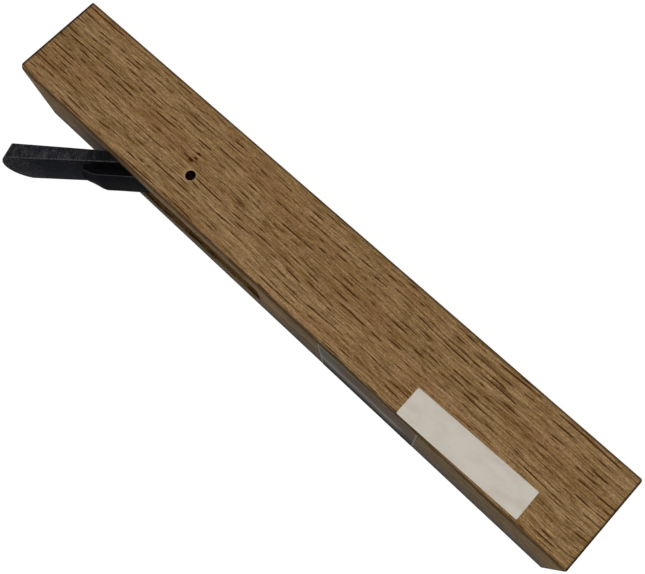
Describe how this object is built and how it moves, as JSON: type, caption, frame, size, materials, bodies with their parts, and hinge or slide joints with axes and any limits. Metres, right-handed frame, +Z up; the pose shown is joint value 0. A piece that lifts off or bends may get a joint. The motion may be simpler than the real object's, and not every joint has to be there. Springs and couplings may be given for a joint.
{
  "type": "japanese hand plane (kanna)",
  "caption": "Long narrow wooden hand plane: a squared oak block with a tapered iron and an arched chip breaker wedged on a slanted bed under a steel cross pin.",
  "frame": {"origin": "middle of the sole, on the sole's plane", "axes": "+X along the block to the tail, the end that leads the cut when the plane is pulled; +Y to the side with the sticker and the open end of the pin's hole; +Z up, out of the top face"},
  "size_m": [0.27, 0.0365, 0.0702],
  "materials": {
    "oak": "planed, bare, fine dark pores along the grain",
    "forged_iron": "blue-black forge scale, slightly scratched",
    "edge_steel": "ground",
    "pin_steel": "dull dark wire",
    "paper": "thin matt paper, bare",
    "film": "thin glossy film, bare"
  },
  "bodies": {
    "dai": {"dai_block": "oak", "pressure_pin": "pin_steel", "side_label": "paper", "top_label": "film"},
    "iron": {"iron_body": "forged_iron", "iron_steel": "edge_steel"},
    "breaker": {"breaker_body": "forged_iron", "breaker_steel": "edge_steel"}
  },
  "joints": [
    {"name": "iron_slide", "type": "slide", "parent": "dai", "child": "iron", "axis": [-0.7934, 0, 0.6088], "range_m": [-0.0008, 0.064]},
    {"name": "breaker_slide", "type": "slide", "parent": "iron", "child": "breaker", "axis": [-0.7702, 0, 0.6378], "range_m": [-0.0004, 0.064]}
  ]
}
